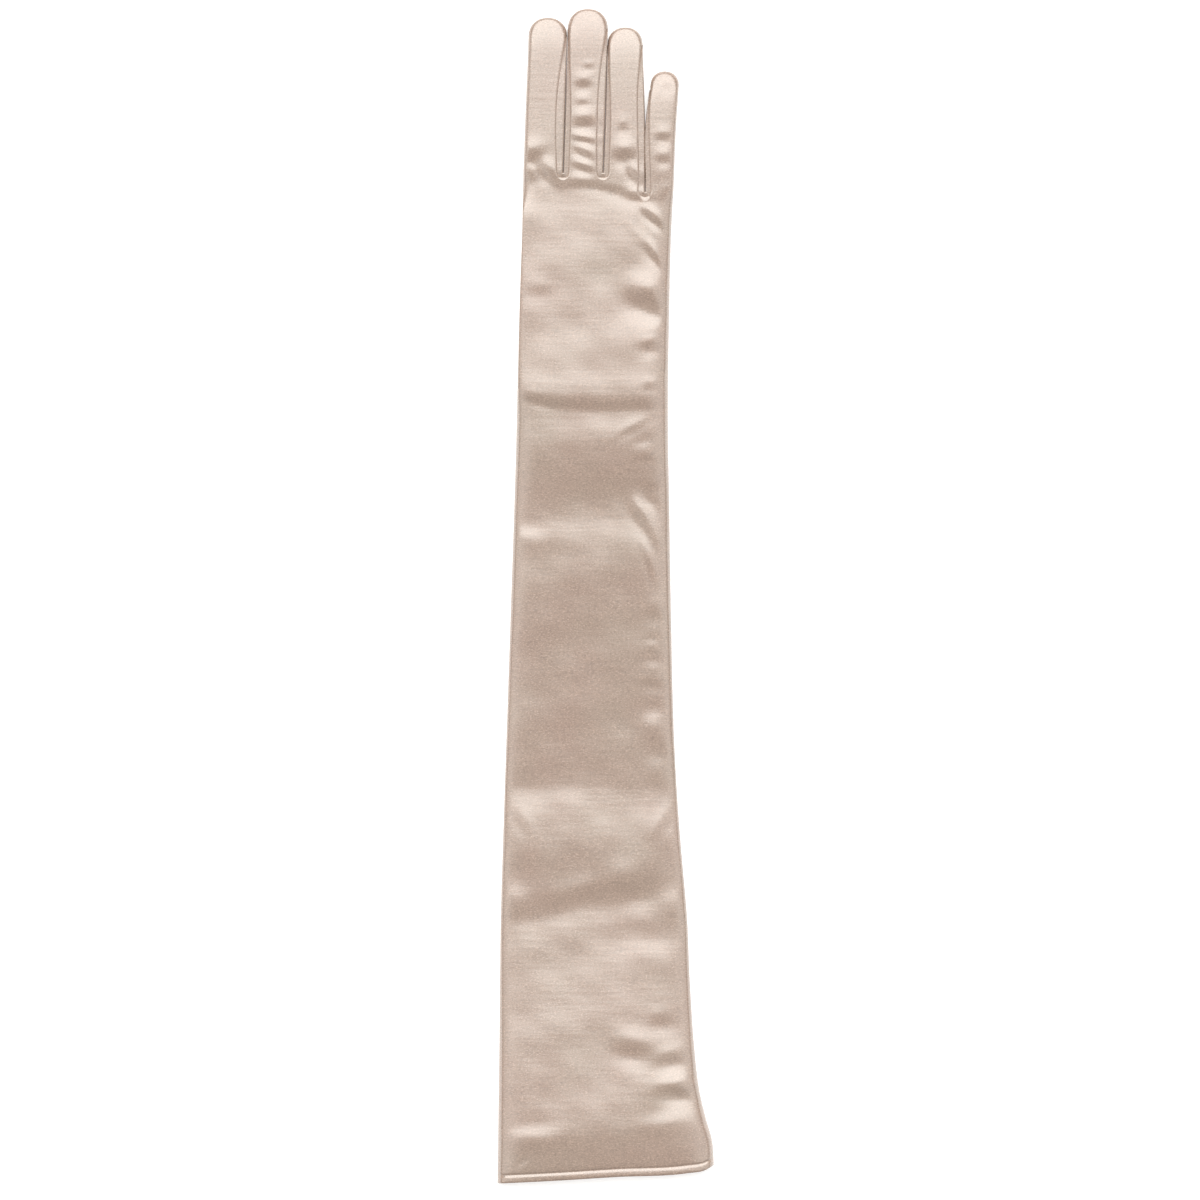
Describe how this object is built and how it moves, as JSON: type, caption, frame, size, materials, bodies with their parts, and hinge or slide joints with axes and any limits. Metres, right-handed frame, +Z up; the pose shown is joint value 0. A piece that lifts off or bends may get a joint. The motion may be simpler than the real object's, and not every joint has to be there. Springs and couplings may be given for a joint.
{
  "type": "opera glove",
  "caption": "Long satin opera glove lying flat, with four finger stalls, a thumb folded under the palm and an open slanted mouth for the upper arm.",
  "frame": {"origin": "under the middle of the glove, on the surface that it lies on", "axes": "+X from the index side to the little-finger side, +Y towards the fingertips, +Z up out of the back of the hand"},
  "size_m": [0.1068, 0.5873, 0.013],
  "materials": {
    "satin": "satin",
    "fork_satin": "satin",
    "hem_satin": "satin"
  },
  "bodies": {
    "forearm": {"forearm_back": "satin", "forearm_palm": "satin"},
    "hand": {"hand_back": "satin", "hand_palm": "satin", "index_middle_fork_base": "fork_satin", "middle_ring_fork_base": "fork_satin", "ring_pinky_fork_base": "fork_satin"},
    "upper_arm": {"upper_arm_back": "satin", "upper_arm_palm": "satin", "hem_back": "hem_satin", "hem_palm": "hem_satin"},
    "index_lower": {"index_lower_back": "satin", "index_lower_palm": "satin", "index_lower_fork_pinky_side": "fork_satin"},
    "index_upper": {"index_upper_back": "satin", "index_upper_palm": "satin", "index_upper_fork_pinky_side": "fork_satin"},
    "middle_lower": {"middle_lower_back": "satin", "middle_lower_palm": "satin", "middle_lower_fork_pinky_side": "fork_satin", "middle_lower_fork_thumb_side": "fork_satin"},
    "middle_upper": {"middle_upper_back": "satin", "middle_upper_palm": "satin", "middle_upper_fork_pinky_side": "fork_satin", "middle_upper_fork_thumb_side": "fork_satin"},
    "ring_lower": {"ring_lower_back": "satin", "ring_lower_palm": "satin", "ring_lower_fork_pinky_side": "fork_satin", "ring_lower_fork_thumb_side": "fork_satin"},
    "ring_upper": {"ring_upper_back": "satin", "ring_upper_palm": "satin", "ring_upper_fork_pinky_side": "fork_satin", "ring_upper_fork_thumb_side": "fork_satin"},
    "pinky_lower": {"pinky_lower_back": "satin", "pinky_lower_palm": "satin", "pinky_lower_fork_thumb_side": "fork_satin"},
    "pinky_upper": {"pinky_upper_back": "satin", "pinky_upper_palm": "satin", "pinky_upper_fork_thumb_side": "fork_satin"},
    "thumb_lower": {"thumb_lower_back": "satin", "thumb_lower_palm": "satin"},
    "thumb_upper": {"thumb_upper_back": "satin", "thumb_upper_palm": "satin"}
  },
  "joints": [
    {"name": "wrist", "type": "hinge", "parent": "forearm", "child": "hand", "pos_m": [-0.006, 0.096, 0.005], "axis": [-1, 0, 0], "range_deg": [-60, 70]},
    {"name": "elbow", "type": "hinge", "parent": "forearm", "child": "upper_arm", "pos_m": [-0.006, -0.145, 0], "axis": [1, 0, 0], "range_deg": [0, 140]},
    {"name": "index_base", "type": "hinge", "parent": "hand", "child": "index_lower", "pos_m": [-0.0311, 0.213, 0], "axis": [-1, 0, 0], "range_deg": [-20, 90]},
    {"name": "index_knuckle", "type": "hinge", "parent": "index_lower", "child": "index_upper", "pos_m": [-0.03047, 0.24114, 0], "axis": [-1, 0, 0], "range_deg": [0, 90]},
    {"name": "middle_base", "type": "hinge", "parent": "hand", "child": "middle_lower", "pos_m": [-0.011, 0.213, 0], "axis": [-1, 0, 0], "range_deg": [-20, 90]},
    {"name": "middle_knuckle", "type": "hinge", "parent": "middle_lower", "child": "middle_upper", "pos_m": [-0.01024, 0.24288, 0], "axis": [-1, 0, 0], "range_deg": [0, 90]},
    {"name": "ring_base", "type": "hinge", "parent": "hand", "child": "ring_lower", "pos_m": [0.0095, 0.213, 0], "axis": [-1, 0, 0], "range_deg": [-20, 90]},
    {"name": "ring_knuckle", "type": "hinge", "parent": "ring_lower", "child": "ring_upper", "pos_m": [0.00996, 0.23938, 0], "axis": [-1, 0, 0], "range_deg": [0, 90]},
    {"name": "pinky_base", "type": "hinge", "parent": "hand", "child": "pinky_lower", "pos_m": [0.0274, 0.2035, 0], "axis": [-1, 0, 0], "range_deg": [-20, 90]},
    {"name": "pinky_knuckle", "type": "hinge", "parent": "pinky_lower", "child": "pinky_upper", "pos_m": [0.02841, 0.22555, 0], "axis": [-1, 0, 0], "range_deg": [0, 90]},
    {"name": "thumb_base", "type": "hinge", "parent": "hand", "child": "thumb_lower", "pos_m": [-0.022, 0.13, 0], "axis": [0, 0, 1], "range_deg": [0, 70]},
    {"name": "thumb_knuckle", "type": "hinge", "parent": "thumb_lower", "child": "thumb_upper", "pos_m": [-0.01491, 0.15647, 0], "axis": [-0.9659, 0.2588, 0], "range_deg": [0, 75]}
  ]
}
